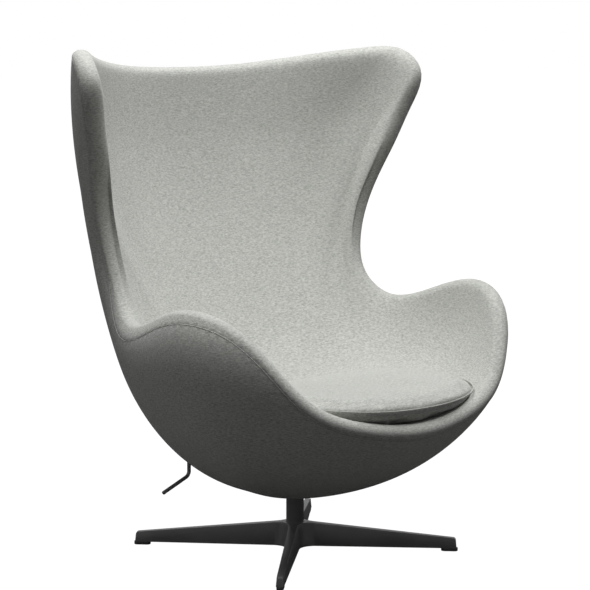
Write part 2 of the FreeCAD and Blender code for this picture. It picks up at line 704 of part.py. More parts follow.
# Rings down a surface at a distance from it; the last one is level, to be closed by a flat face
def skinRings(surface, offset, start=0):
    rings = [ringWire(lambda mark: surface.spot(mark, down, offset, start)) for down in LEVELS]
    lowest = surface.bottom.z - offset

    def flat(mark):
        spot = surface.spot(mark, LAST_LEVEL, offset)
        return Vector(spot.x, spot.y, lowest)
    return rings + [ringWire(flat)]


# Rings round the padded roll of the rim, from its outer side over the crest to the sitter's side
def rollRings(radius, startAngle, steps=8):
    def spot(mark, share):
        outside = coreSurface.outward(mark, 0)
        inside = seatSurface.outward(mark, 0) * -1
        away = coreSurface.point(mark, 0) - coreSurface.point(mark, 0.002)
        axis = outside.cross(away).normalize()
        whole = math.atan2(axis.dot(outside.cross(inside)), outside.dot(inside)) % (2 * math.pi)
        turn = startAngle + (whole - startAngle) * share
        return rimCurve.value(mark) + FreeCAD.Rotation(axis, math.degrees(turn)).multVec(outside) * radius
    return [ringWire(lambda mark: spot(mark, k / steps)) for k in range(steps + 1)]


def loftFaces(rings, ruled=False):
    return Part.makeLoft(rings, False, ruled).Faces


def closedSolid(faces):
    shell = Part.makeShell(faces)
    shell.sewShape()
    solid = Part.makeSolid(shell)
    if solid.Volume < 0:
        solid.reverse()
    return solid


# Sewn bead round a closed line of (middle, two directions square to the line)
def bead(places, marks):
    radius = float(d.seam_diameter) / 2
    faces = []
    for half in range(2):
        rings = []
        for k in range(7):
            turn = math.pi * (half + k / 6)
            spots = [m + (a * math.cos(turn) + b * math.sin(turn)) * radius for m, a, b in places]
            rings.append(Part.Wire(closedCurve(spots, marks).toShape()))
        faces += loftFaces(rings)
    return closedSolid(faces)


# Layer between two sets of rings that start at the same edge and end level
def layer(outside, inside):
    faces = loftFaces(outside) + loftFaces(inside)
    faces += loftFaces([outside[0], inside[0]], True) + [Part.Face(outside[-1]), Part.Face(inside[-1])]
    return closedSolid(faces)


def block(x0, x1, y0, y1, z0, z1):
    low = Vector(float(x0), float(y0), float(z0))
    return Part.makeBox(float(x1) - low.x, float(y1) - low.y, float(z1) - low.z, low)


def columnSlot(grow):
    radius = float(d.slot_width) / 2 + grow
    low = float(shellBottom) - float(d.rim_roll) * 2
    high = float(plateBottom) + float(d.plate_thickness)
    travel = float(d.slot_travel)
    hole = Part.makeCylinder(radius, high - low, Vector(0, 0, low))
    hole = hole.fuse(Part.makeCylinder(radius, high - low, Vector(0, travel, low)))
    return hole.fuse(block(-radius, radius, 0, travel, low, high)).removeSplitter()


leverHeight = pivotHeight + d.lever_above
pocketTop = leverHeight + d.pocket_above
pocketLow = pocketTop - d.pocket_height


def leverSlot():
    halfWide = d.lever_slot_width / 2
    halfLong = d.lever_slot_travel / 2
    slot = block(-d.lever_reach - halfWide, -d.lever_reach + halfWide, d.lever_back - halfLong, d.lever_back + halfLong,
                 shellBottom, pocketLow + d.cut_past)
    halfWide = d.pocket_width / 2
    halfDeep = d.pocket_depth / 2
    pocketSpace = block(-d.lever_reach - halfWide, -d.lever_reach + halfWide - d.pocket_end, d.lever_back - halfDeep,
                        d.lever_back + halfDeep, pocketLow, pocketTop)
    return slot.fuse(pocketSpace)


tubeRadius = d.rod_diameter / 2 + d.face_gap + d.tube_wall
tubeEnd = -d.lever_reach + d.pocket_width / 2 - d.pocket_end
bayTop = shellBottom + d.bay_height
roll = float(d.rim_roll)
gap = float(d.soft_gap)
halfCore = float(d.core_thickness) / 2
foamTop = roll - float(d.cover_thickness) - gap / 2
seamHalf = float(d.seam_diameter) / 2 + gap


def makeShellCore():
    core = layer(skinRings(coreSurface, halfCore), skinRings(coreSurface, -halfCore))
    top = float(plateBottom)
    depth = float(d.insert_length)
    for x, y in fixingPlaces():
        place = Vector(float(x), float(y), top - depth - halfCore)
        core = core.fuse(Part.makeCylinder(float(d.boss_diameter) / 2, depth + halfCore, place))
    for x, y in fixingPlaces():
        place = Vector(float(x), float(y), top - depth)
        core = core.cut(Part.makeCylinder(float(d.insert_diameter) / 2, depth + float(d.cut_past), place))
    core = core.cut(columnSlot(gap)).cut(leverSlot())
    addShape("shell_core", core.removeSplitter())


def makeOuterSide():
    foam = layer(skinRings(coreSurface, foamTop - gap, gap), skinRings(coreSurface, halfCore + gap, gap))
    for x, y in fixingPlaces():
        place = Vector(float(x), float(y), float(shellBottom) - roll)
        foam = foam.cut(Part.makeCylinder(float(d.boss_diameter) / 2 + gap, float(d.plate_drop), place))
    addShape("outer_foam", foam.cut(columnSlot(gap)).cut(leverSlot()))
    cover = layer(skinRings(coreSurface, roll, seamHalf), skinRings(coreSurface, foamTop, seamHalf))
    addShape("outer_cover", cover.cut(columnSlot(gap)).cut(leverSlot()))
    places = []
    for mark in rimMarks[:-1]:
        out = coreSurface.outward(mark, 0)
        up = (coreSurface.point(mark, 0) - coreSurface.point(mark, 0.002)).normalize()
        places.append((coreSurface.spot(mark, 0, roll), out, up))
    addShape("rim_seam", bead(places, rimMarks))


def makeInnerSide():
    roundRim = rollRings(foamTop - gap, 0)
    front = skinRings(seatSurface, -(foamTop - gap))
    behind = skinRings(coreSurface, -halfCore - gap)
    edge = ringWire(lambda mark: coreSurface.spot(mark, 0, halfCore + gap, -gap))
    behind[0] = ringWire(lambda mark: coreSurface.spot(mark, 0, -halfCore - gap, -gap))
    front[0] = roundRim[-1]
    faces = loftFaces(roundRim) + loftFaces(front) + loftFaces(behind)
    faces += loftFaces([roundRim[0], edge], True) + loftFaces([edge, behind[0]], True)
    faces += [Part.Face(front[-1]), Part.Face(behind[-1])]
    foam = closedSolid(faces)
    halfBay = d.bay_width / 2
    foam = foam.cut(block(-halfBay, halfBay, -d.bay_front, d.bay_back, shellBottom - d.rim_roll, bayTop))
    ledge = d.bay_ledge + d.soft_gap
    lid = block(-halfBay - ledge, halfBay + ledge, -d.bay_front - ledge, d.bay_back + ledge, bayTop,
                bayTop + d.bay_cover_thickness + d.soft_gap)
    tunnel = Part.makeCylinder(float(tubeRadius) + gap, float(d.lever_reach), Vector(float(d.cut_past - halfBay),
                               float(d.lever_back), float(leverHeight)), Vector(-1, 0, 0))
    tunnel = tunnel.common(block(-d.lever_reach, 0, 0, 2 * d.lever_back, shellBottom, bayTop))
    foam = foam.cut(lid).cut(tunnel).cut(leverSlot())
    addShape("inner_foam", foam)

    startAngle = seamHalf / roll
    coverOut = rollRings(roll, startAngle)
    coverIn = rollRings(foamTop, startAngle)
    skinOut = skinRings(seatSurface, -roll)
    skinIn = skinRings(seatSurface, -foamTop)
    skinOut[0] = coverOut[-1]
    skinIn[0] = coverIn[-1]
    faces = loftFaces(coverOut) + loftFaces(skinOut) + loftFaces(coverIn) + loftFaces(skinIn)
    faces += loftFaces([coverOut[0], coverIn[0]], True) + [Part.Face(skinOut[-1]), Part.Face(skinIn[-1])]
    addShape("inner_cover", closedSolid(faces))


def makeBayCover():
    lid = doc.addObject("Part::Box", "bay_cover")
    bind(lid, "Length", d.bay_width + 2 * d.bay_ledge)
    bind(lid, "Width", d.bay_front + d.bay_back + 2 * d.bay_ledge)
    bind(lid, "Height", d.bay_cover_thickness)
    bind(lid, ".Placement.Base.x", -d.bay_width / 2 - d.bay_ledge)
    bind(lid, ".Placement.Base.y", -d.bay_front - d.bay_ledge)
    bind(lid, ".Placement.Base.z", bayTop)
    nodes.append(lid)


def makeColumnTrim():
    body = newBody("column_trim", (0, 0, shellBottom - d.rim_roll - d.trim_proud))
    radius = d.slot_width / 2
    oval = newSketch(body, "oval", "XY")
    drawOval(oval, (0, 0), (0, d.slot_travel), radius)
    drawOval(oval, (0, 0), (0, d.slot_travel), radius - d.trim_wall)
    pad(body, oval, d.trim_height)


# Brake lever: a rod along X to a cam at the head's sector, then down and out through the shell
def bentRod(spots, radii, thick):
    edges = []
    last = spots[0]
    for before, corner, after, radius in zip(spots, spots[1:], spots[2:], radii):
        back = (before - corner).normalize()
        ahead = (after - corner).normalize()
        half = math.acos(max(-1, min(1, back.dot(ahead)))) / 2
        reach = radius / math.tan(half)
        enter = corner + back * reach
        leave = corner + ahead * reach
        bisector = (back + ahead).normalize()
        top = corner + bisector * (radius / math.sin(half) - radius)
        edges.append(Part.LineSegment(last, enter).toShape())
        edges.append(Part.Arc(enter, top, leave).toShape())
        last = leave
    edges.append(Part.LineSegment(last, spots[-1]).toShape())
    circle = Part.Wire(Part.Circle(spots[0], spots[1] - spots[0], thick / 2).toShape())
    return Part.Wire(edges).makePipeShell([circle], True, False)


camOutside = -d.head_width / 2


def makeLever():
    back = float(d.lever_back)
    high = float(leverHeight)
    reach = float(d.lever_reach)
    drop = high - float(d.rod_drop)
    start = Vector(float(camOutside) + float(d.cam_width), back, high)
    tip = Vector(-reach - float(d.handle_reach), back, drop - float(d.handle_drop))
    spots = (start, Vector(-reach, back, high), Vector(-reach, back, drop), tip)
    bends = (float(d.inner_bend), float(d.rod_bend))
    addShape("lever_rod", bentRod(spots, bends, float(d.rod_diameter)))
    thick = ring(-cheekOutside, tubeEnd, d.rod_diameter / 2 + d.face_gap, tubeRadius)
    turnedAcross("lever_tube", [thick], (0, d.lever_back, leverHeight))
    cam = newBody("brake_cam", (0, d.lever_back, leverHeight))
    disc = newSketch(cam, "disc", "YZ", camOutside)
    drawCircle(disc, (0, d.cam_throw), 2 * d.cam_radius)
    pad(cam, disc, d.cam_width)
    bore = newSketch(cam, "bore", "YZ", camOutside)
    drawCircle(bore, (0, 0), d.rod_diameter)
    pocket(cam, bore, d.cam_width, reverse=True)


# Loose seat cushion: rounded plan, crown on top, belly below, drawn in to a seam round its side
PLAN_POWER = 2.6
SIDE_POWER = 12
PLAN_STEPS = 40
SIDE_ANGLES = (0, 15, 30, 45, 60, 72, 82, 87)
INNER_SHARES = (0.48, 0.34, 0.2, 0.1)
planMarks = [k / PLAN_STEPS for k in range(PLAN_STEPS + 1)]
planAngles = [2 * math.pi * mark for mark in planMarks[:-1]]


def cushionSpot(angle, share, rise=0, lift=0, inset=0, sides=1):
    c = math.cos(angle)
    s = math.sin(angle)
    reach = (abs(c) ** PLAN_POWER + abs(s) ** PLAN_POWER) ** (-1 / PLAN_POWER)
    half = float(d.cushion_width) / 2 - inset
    deep = float(d.cushion_back if s > 0 else d.cushion_front) - inset
    x = half * reach * c * share
    y = deep * reach * s * share
    z = float(shellBottom) + float(d.cushion_height) + sides * float(d.cushion_sides_up) * (x / half) ** 2
    z += rise - float(d.cushion_slope) * y
    z += lift * (1 - share * share)
    return Vector(x, y - float(d.cushion_place), z)


# Rings from the side seam to the middle of the top or the underside; the last one lies in a plane
def cushionRings(inset, upper, seam=0):
    half = float(d.cushion_thickness) / 2 - inset
    side = 1 if upper else -1
    lift = float(d.cushion_crown) if upper else -float(d.cushion_belly)
    start = math.asin(seam / half)
    sections = []
    for angle in SIDE_ANGLES:
        turn = start + (math.pi / 2 - start) * angle / 90
        sections.append((math.cos(turn) ** (2 / SIDE_POWER), math.sin(turn)))
    sections += [(share, 1) for share in INNER_SHARES]
    rings = []
    for share, rise in sections:
        sides = 0 if share == INNER_SHARES[-1] else 1
        spots = [cushionSpot(angle, share, side * rise * half, lift, inset, sides) for angle in planAngles]
        rings.append(Part.Wire(closedCurve(spots, planMarks).toShape()))
    return rings


def makeCushion():
    cover = float(d.cover_thickness)
    foamRings = cushionRings(cover + gap, True), cushionRings(cover + gap, False)
    faces = loftFaces(foamRings[0]) + loftFaces(foamRings[1]) + [Part.Face(rings[-1]) for rings in foamRings]
    addShape("cushion_foam", closedSolid(faces))
    seam = seamHalf
    for name, upper in (("cushion_top_cover", True), ("cushion_under_cover", False)):
        outside = cushionRings(0, upper, seam)
        inside = cushionRings(cover, upper, seam)
        addShape(name, layer(outside, inside))
    places = []
    for angle in planAngles:
        spot = cushionSpot(angle, 1)
        out = spot - cushionSpot(angle, 0.99)
        places.append((spot, Vector(out.x, out.y, 0).normalize(), Vector(0, 0, 1)))
    addShape("cushion_seam", bead(places, planMarks))


makeStarBase()
makeGlides()
makeColumn()
makeSpindle()
makeSwivelHead()
makeHeadPads()
makePivot()
makeTiltBracket()
makeFixings()
makeTiltSprings()
makeShellCore()
makeOuterSide()
makeInnerSide()
makeBayCover()
makeColumnTrim()
makeLever()
makeCushion()
doc.recompute()

# Every object and every piece is checked before anything is written
faults = [o.Name for o in doc.Objects if "Invalid" in o.State or "Error" in o.State]
faults += [n.Label for n in nodes if n.Shape.isNull() or not n.Shape.isValid() or not n.Shape.Solids]
if faults:
    raise RuntimeError("failed: " + ", ".join(faults))
os.makedirs("parts", exist_ok=True)
for node in nodes:
    node.Shape.exportStep("parts/%s.step" % node.Label)
    solids = node.Shape.Solids
    print("%-20s %d solids %10.1f cm3" % (node.Label, len(solids), sum(s.Volume for s in solids) / 1000))
print(len(nodes), "nodes")
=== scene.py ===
import bpy
import bmesh
import json
import math
import numpy as np
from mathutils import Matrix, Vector


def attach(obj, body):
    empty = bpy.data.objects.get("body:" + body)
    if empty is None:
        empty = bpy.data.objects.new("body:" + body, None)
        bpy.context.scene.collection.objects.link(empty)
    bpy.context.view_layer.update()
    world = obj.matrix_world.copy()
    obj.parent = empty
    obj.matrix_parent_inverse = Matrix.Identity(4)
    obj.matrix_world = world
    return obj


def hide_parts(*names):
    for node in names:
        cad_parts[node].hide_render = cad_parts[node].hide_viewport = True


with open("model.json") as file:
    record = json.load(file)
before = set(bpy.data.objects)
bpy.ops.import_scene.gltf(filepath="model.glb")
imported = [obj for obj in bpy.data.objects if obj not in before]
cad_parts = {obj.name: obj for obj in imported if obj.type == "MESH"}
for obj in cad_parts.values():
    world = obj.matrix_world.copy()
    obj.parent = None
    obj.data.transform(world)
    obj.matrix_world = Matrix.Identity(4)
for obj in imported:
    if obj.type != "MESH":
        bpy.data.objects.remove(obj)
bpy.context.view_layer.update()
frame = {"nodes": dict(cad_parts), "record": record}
nodes = frame["nodes"]
milli = 0.001

# Half of the rim, from the top of the back to the front lip (mm); mirrored for the sitter's right
egg = {
    "rim": [
        (0, 400, 1005), (150, 387, 1010), (290, 315, 1030), (390, 215, 1050), (436, 150, 1044),
        (448, 112, 1002), (430, 124, 930), (402, 150, 845), (372, 182, 755), (340, 195, 640),
        (333, 172, 555), (352, 110, 500), (382, -45, 525), (388, -150, 548), (365, -230, 528),
        (315, -297, 455), (240, -342, 370), (120, -372, 325), (0, -383, 312)],
    "handlePoints": [0, 2, 4, 6, 8, 10, 12, 14, 16, 18],
    "coreNear": [
        (0, 395, 670), (230, 380, 700), (320, 390, 750), (320, 375, 730), (320, 315, 615),
        (360, 190, 480), (445, -40, 430), (435, -220, 420), (230, -295, 290), (0, -335, 270)],
    "coreFar": [
        (0, 270), (130, 255), (205, 215), (270, 180), (305, 125),
        (315, 60), (290, -40), (285, -140), (170, -185), (0, -225)],
    "coreBottom": (0, 0, 139),
    "seatNear": [
        (0, 393, 660), (226, 379, 681), (291, 400, 745), (307, 352, 698), (300, 271, 611),
        (307, 162, 494), (360, -46, 427), (346, -196, 416), (219, -288, 335), (0, -321, 303)],
    "seatFar": [
        (0, 189), (112, 187), (177, 195), (235, 173), (285, 131),
        (286, 66), (302, -40), (307, -152), (199, -244), (0, -222)],
    "seatBottom": (0, -60, 291),
    "roll": 17.0,           # foam and cover over the core's edge
    "cover": 1.6,           # thickness of the cloth
    "around": 300,          # rows of quads round the rim
    "down": 72,             # columns of quads down a surface
    "lowest": 0.985,        # share of a section where its last ring lies
    "nudge": 0.002,         # share of a section that a slope is measured over
}


def mirrored(half):
    whole = [tuple(p) for p in half]
    return np.array(whole + [(-p[0],) + tuple(p[1:]) for p in whole[-2:0:-1]], float)


# Smooth closed curve through the points, at the given marks along it
def closedSpline(marks, spots):
    count = len(spots)
    step = np.diff(marks)
    after = np.roll(spots, -1, 0)
    slope = (after - spots) / step[:, None]
    system = np.zeros((count, count))
    for k in range(count):
        system[k, k - 1] = step[k - 1]
        system[k, k] = 2 * (step[k - 1] + step[k])
        system[k, (k + 1) % count] = step[k]
    bend = np.linalg.solve(system, 6 * (slope - np.roll(slope, 1, 0)))
    bendAfter = np.roll(bend, -1, 0)

    def at(values):
        values = np.asarray(values, float) % marks[-1]
        k = np.clip(np.searchsorted(marks, values, "right") - 1, 0, count - 1)
        size = step[k][:, None]
        a = (np.array(marks)[k + 1] - values)[:, None]
        b = size - a
        line = spots[k] * a / size + after[k] * b / size
        curve = bend[k] * (a ** 3 / size - a * size) + bendAfter[k] * (b ** 3 / size - b * size)
        return line + curve / 6
    return at


rimSpots = mirrored(egg["rim"])
rimMarks = np.concatenate([[0], np.cumsum(np.linalg.norm(np.roll(rimSpots, -1, 0) - rimSpots, axis=1))])
rimLength = rimMarks[-1]
rimAt = closedSpline(rimMarks, rimSpots)
halfMarks = [rimMarks[k] for k in egg["handlePoints"]]
handleMarks = np.array(halfMarks + [rimLength - m for m in halfMarks[-2:0:-1]] + [rimLength])


# One surface of the egg: a cubic section from each rim point to the lowest point
class EggSurface:
    def __init__(self, near, far, bottom):
        self.near = closedSpline(handleMarks, mirrored(near))
        self.far = closedSpline(handleMarks, mirrored([(x, y, bottom[2]) for x, y in far]))
        self.bottom = np.array(bottom, float)

    def grid(self, marks, levels):
        rim, near, far = (f(marks)[:, None] for f in (rimAt, self.near, self.far))
        t = np.asarray(levels)[..., None]
        if t.ndim == 2:
            t = t[None]
        upper = (1 - t) ** 3 * rim + 3 * (1 - t) ** 2 * t * near
        return upper + 3 * (1 - t) * t * t * far + t ** 3 * self.bottom

    def outward(self, marks, levels):
        levels = np.asarray(levels)
        along = self.grid(marks + 1, levels) - self.grid(marks - 1, levels)
        lower = self.grid(marks, np.minimum(levels + egg["nudge"], 1))
        upper = self.grid(marks, np.maximum(levels - egg["nudge"], 0))
        normal = np.cross(along, lower - upper)
        size = np.linalg.norm(normal, axis=2, keepdims=True)
        return normal / np.maximum(size, 1e-9)

    def offset(self, marks, levels, distance):
        return self.grid(marks, levels) + self.outward(marks, levels) * np.asarray(distance)[..., None]


core = EggSurface(egg["coreNear"], egg["coreFar"], egg["coreBottom"])
seat = EggSurface(egg["seatNear"], egg["seatFar"], egg["seatBottom"])


# Arc round the rim's padded roll: share 0 is the outer side, 1 the sitter's side
def rollGrid(marks, shares, radius):
    outside = core.outward(marks, np.zeros(1))[:, 0]
    inside = -seat.outward(marks, np.zeros(1))[:, 0]
    away = (core.grid(marks, [0.0]) - core.grid(marks, [egg["nudge"]]))[:, 0]
    axis = np.cross(outside, away)
    axis /= np.linalg.norm(axis, axis=1, keepdims=True)
    side = np.cross(axis, outside)
    whole = np.arctan2((inside * side).sum(1), (inside * outside).sum(1)) % (2 * np.pi)
    turn = whole[:, None] * np.asarray(shares)
    turn = turn[..., None]
    radius = np.asarray(radius)[..., None]
    return rimAt(marks)[:, None] + (outside[:, None] * np.cos(turn) + side[:, None] * np.sin(turn)) * radius


def linked(name, mesh):
    piece = bpy.data.objects.new(name, mesh)
    bpy.context.scene.collection.objects.link(piece)
    return piece


# Closed skin of quads: rows run round the rim and join up, columns run down it. The outside and the
# inside share their first edge, and each is closed at its last ring by one face.
def skinPiece(name, outside, inside, seamDistance):
    around, down = outside.shape[:2]
    spots = np.concatenate([outside.reshape(-1, 3), inside.reshape(-1, 3)]) * milli
    faces = []
    for layer in range(2):
        base = layer * around * down
        for k in range(around):
            ahead = (k + 1) % around
            for j in range(down - 1):
                near, far = base + k * down + j, base + ahead * down + j
                quad = [near, far, far + 1, near + 1]
                faces.append(quad if layer else quad[::-1])
        last = [base + k * down + down - 1 for k in range(around)]
        faces.append(last if layer else last[::-1])
    for k in range(around):
        ahead = (k + 1) % around
        faces.append([k * down, ahead * down, around * down + ahead * down, around * down + k * down])
    mesh = bpy.data.meshes.new(name)
    mesh.from_pydata(spots.tolist(), [], faces)
    layerMap = mesh.uv_layers.new(name="seamMap")
    marks = np.tile(np.repeat(np.arange(around) * rimLength / around, down), 2) * milli
    depth = np.tile(seamDistance.reshape(-1), 2) * milli
    corner = np.zeros(len(mesh.loops), np.int32)
    mesh.loops.foreach_get("vertex_index", corner)
    layerMap.data.foreach_set("uv", np.stack([marks[corner], depth[corner]], 1).ravel())
    fixed = bmesh.new()
    fixed.from_mesh(mesh)
    bmesh.ops.recalc_face_normals(fixed, faces=fixed.faces)
    fixed.to_mesh(mesh)
    fixed.free()
    for face in mesh.polygons:
        face.use_smooth = True
    return linked(name, mesh)


def cutWith(piece, *cutters):
    for cutter in cutters:
        cut = piece.modifiers.new("cut", "BOOLEAN")
        cut.operation = "DIFFERENCE"
        cut.solver = "EXACT"
        cut.object = cutter
    finished = finishedMesh(piece)
    piece.modifiers.clear()
    old = piece.data
    piece.data = finished
    bpy.data.meshes.remove(old)
    for cutter in cutters:
        bpy.data.objects.remove(cutter)


def finishedMesh(piece):
    bpy.context.view_layer.update()
    graph = bpy.context.evaluated_depsgraph_get()
    return bpy.data.meshes.new_from_object(piece.evaluated_get(graph))


# Upright oval block about two points on the line x = constant
def ovalBlock(name, x, y0, y1, halfWide, low, high, steps=24):
    spots = []
    for middle, first in ((y1, 0), (y0, math.pi)):
        for k in range(steps + 1):
            turn = first + math.pi * k / steps
            spots.append((x + halfWide * math.cos(turn), middle + halfWide * math.sin(turn)))
    mesh = bpy.data.meshes.new(name)
    count = len(spots)
    verts = [(px * milli, py * milli, z * milli) for z in (low, high) for px, py in spots]
    faces = [[(k + 1) % count, k, k + count, (k + 1) % count + count] for k in range(count)]
    mesh.from_pydata(verts, [], faces + [list(range(count)), list(range(2 * count - 1, count - 1, -1))])
    solid = bmesh.new()
    solid.from_mesh(mesh)
    bmesh.ops.recalc_face_normals(solid, faces=solid.faces)
    solid.to_mesh(mesh)
    solid.free()
    return linked(name, mesh)


# Small wave in the padding, so that no surface is dead smooth
def padWave(spots, size):
    x, y, z = (spots[..., k] * milli for k in range(3))
    broad = np.sin(9.1 * x + 4.3 * z) * np.sin(7.7 * y - 5.2 * z + 1.3)
    short = 0.6 * np.sin(19 * z + 6 * x) * np.sin(15 * y + 8 * x)
    return (broad + short) * size


upholstery = {
    # how far the seam lies down the outer side (mm), by rim point
    "seamDown": [0, 0, 0, 0, 0, 0, 0, 2, 4, 8, 14, 17, 17, 15, 10, 4, 0, 0, 0],
    # fullness of the padding inside the rim (mm), by rim point
    "fullness": [2, 3, 5, 8, 11, 13, 13, 12, 10, 8, 6, 4, 4, 4, 3, 1, 0, 0, 0],
    "groove": 0.5,          # how far the covers sink into the seam
    "grooveWidth": 4.0,
    "wave": 0.5,            # height of the padding's small wave
    "waveStart": 60.0,      # distance from the seam that the wave needs to reach its full height
    "fullStart": 10.0,      # distances where the fullness starts, is whole and has gone
    "fullWhole": 70.0,
    "fullEnd": 240.0,
    "seamGap": 0.3,         # first ring's distance from the seam
    "columnSlot": {"x": 0, "y": (0, 17), "half": 30.0, "z": (80, 200)},
    "leverSlot": {"x": -243, "y": (47.0, 63.0), "half": 8.0, "z": (150, 260)},
}


def alongRim(marks, name):
    values = mirrored([(0, value) for value in upholstery[name]])[:, 1:]
    return closedSpline(rimMarks, values)(marks)[:, 0]


def levelsBelowRim(surface, marks, distances):
    scale = 3 * np.linalg.norm(surface.near(marks) - rimAt(marks), axis=1)
    return distances / scale[:, None]


def seamDip(distance):
    return upholstery["groove"] * np.clip(1 - distance / upholstery["grooveWidth"], 0, 1) ** 2


def slotBlock(name):
    slot = upholstery[name]
    return ovalBlock(name, slot["x"], *slot["y"], slot["half"], *slot["z"])


def outerCover():
    marks = np.arange(egg["around"]) * rimLength / egg["around"]
    close = [upholstery["seamGap"], 1.0, 2.0, 3.2, 5.0, 8.0]
    seamAt = np.maximum(alongRim(marks, "seamDown"), 0)[:, None]
    first = levelsBelowRim(core, marks, seamAt + np.array(close)[None])
    rest = np.linspace(0, 1, egg["down"])[1:] ** 1.15
    start = first[:, -1:]
    levels = np.concatenate([first, start + (egg["lowest"] - start) * rest[None]], 1)
    middle = core.grid(marks, levels)
    step = np.linalg.norm(np.diff(middle, axis=1), axis=2)
    further = close[-1] + np.cumsum(step[:, len(close) - 1:], axis=1)
    distance = np.concatenate([np.tile(close, (len(marks), 1)), further], 1)
    wave = padWave(middle, upholstery["wave"]) * np.clip(distance / upholstery["waveStart"], 0, 1)
    high = egg["roll"] - seamDip(distance) + wave
    outside = core.offset(marks, levels, high)
    inside = core.offset(marks, levels, high - egg["cover"])
    piece = skinPiece("outer_upholstery", outside, inside, distance)
    cutWith(piece, slotBlock("columnSlot"), slotBlock("leverSlot"))
    return piece


def innerCover():
    marks = np.arange(egg["around"]) * rimLength / egg["around"]
    seamAt = np.maximum(alongRim(marks, "seamDown"), 0)[:, None]
    full = np.maximum(alongRim(marks, "fullness"), 0)[:, None]
    arc = egg["roll"] * math.pi

    def fullness(distance):
        start, whole, end = (upholstery[key] for key in ("fullStart", "fullWhole", "fullEnd"))
        rise = np.clip((distance - start) / (whole - start), 0, 1)
        fall = np.clip((distance - whole) / (end - whole), 0, 1)
        return full * rise * rise * (3 - 2 * rise) * (1 - fall * fall * (3 - 2 * fall))

    # flap from the seam up to the rim, on the outer side
    gap = upholstery["seamGap"]
    share = np.array([0, 0.08, 0.2, 0.4, 0.7])[None]
    flap = np.maximum(seamAt - gap, 0.02) * (1 - share) + 0.01
    distance = seamAt - flap
    high = egg["roll"] - seamDip(distance + gap)
    flapLevels = levelsBelowRim(core, marks, flap)
    flapOut = core.offset(marks, flapLevels, high)
    flapIn = core.offset(marks, flapLevels, high - egg["cover"])
    whole = [distance]
    # round the rim
    rollDistance = np.array([0.0, 1.5, 3.0, 5.0, 8.0, 12, 16, 20, 24, 28, 32, 36, 40, 44, 48])[None]
    shares = np.tile(rollDistance / arc, (len(marks), 1))
    distance = seamAt + rollDistance
    high = egg["roll"] - seamDip(distance + gap) + fullness(rollDistance)
    rollOut = rollGrid(marks, shares, high)
    rollIn = rollGrid(marks, shares, high - egg["cover"])
    whole.append(distance)
    # down the sitter's side
    levels = np.tile(np.linspace(0, egg["lowest"], egg["down"] + 6) ** 1.1, (len(marks), 1))
    middle = seat.grid(marks, levels)
    step = np.linalg.norm(np.diff(middle, axis=1), axis=2)
    distance = arc + np.cumsum(np.concatenate([np.zeros((len(marks), 1)), step], 1), axis=1)
    reached = np.clip((distance - arc) / upholstery["waveStart"], 0, 1)
    wave = padWave(middle, upholstery["wave"]) * reached
    high = egg["roll"] + wave + fullness(distance)
    skinOut = seat.offset(marks, levels, -high)
    skinIn = seat.offset(marks, levels, -high + egg["cover"])
    whole.append(seamAt + distance)
    outside = np.concatenate([flapOut, rollOut, skinOut], 1)
    inside = np.concatenate([flapIn, rollIn, skinIn], 1)
    return skinPiece("inner_upholstery", outside, inside, np.concatenate(whole, 1))


print("stage: shell upholstery")
outerPiece = outerCover()
innerPiece = innerCover()


# Small nodes and values for the finishes
class Value:
    def __init__(self, finish, socket):
        self.finish = finish
        self.socket = socket

    def math(self, operation, other, swap=False):
        pair = (other, self) if swap else (self, other)
        return self.finish.node("ShaderNodeMath", {"operation": operation}, {0: pair[0], 1: pair[1]})

    def __add__(self, other):
        return self.math("ADD", other)

    def __sub__(self, other):
        return self.math("SUBTRACT", other)

    def __rsub__(self, other):
        return self.math("SUBTRACT", other, True)

    def __mul__(self, other):
        return self.math("MULTIPLY", other)


class Finish:
    def __init__(self, name, **fixed):
        self.material = bpy.data.materials.new(name)
        self.material.use_nodes = True
        self.tree = self.material.node_tree
        self.surface = self.tree.nodes["Principled BSDF"]
        for socket, value in fixed.items():
            self.surface.inputs[socket.replace("_", " ")].default_value = value

    def node(self, kind, settings, inputs, output=0):
        made = self.tree.nodes.new(kind)
        for name, value in settings.items():
            setattr(made, name, value)
        for name, value in inputs.items():
            socket = made.inputs[name]
            if isinstance(value, Value):
                self.tree.links.new(value.socket, socket)
            else:
                socket.default_value = value
        return Value(self, made.outputs[output])

    def objectPlace(self):
        return self.node("ShaderNodeTexCoord", {}, {}, "Object")

    def scaled(self, place, scale):
        return self.node("ShaderNodeMapping", {}, {"Vector": place, "Scale": scale})

    def noise(self, place, scale, detail=2.0, roughness=0.5):
        inputs = {"Vector": place, "Scale": scale, "Detail": detail, "Roughness": roughness}
        return self.node("ShaderNodeTexNoise", {}, inputs, "Fac")

    def smooth(self, value, low, high):
        ends = {"From Min": low, "From Max": high}
        return self.node("ShaderNodeMapRange", {"interpolation_type": "SMOOTHSTEP"}, {"Value": value, **ends})

    def mix(self, share, first, second):
        made = self.tree.nodes.new("ShaderNodeMix")
        made.data_type = "RGBA"
        for socket, value in ((made.inputs[0], share), (made.inputs[6], first), (made.inputs[7], second)):
            if isinstance(value, Value):
                self.tree.links.new(value.socket, socket)
            else:
                socket.default_value = value if isinstance(value, (int, float)) else tuple(value) + (1,)
        return Value(self, made.outputs[2])

    def bump(self, height, distance, strength):
        return self.node("ShaderNodeBump", {}, {"Height": height, "Distance": distance, "Strength": strength})

    def set(self, **links):
        for socket, value in links.items():
            self.tree.links.new(value.socket, self.surface.inputs[socket.replace("_", " ")])
        return self.material


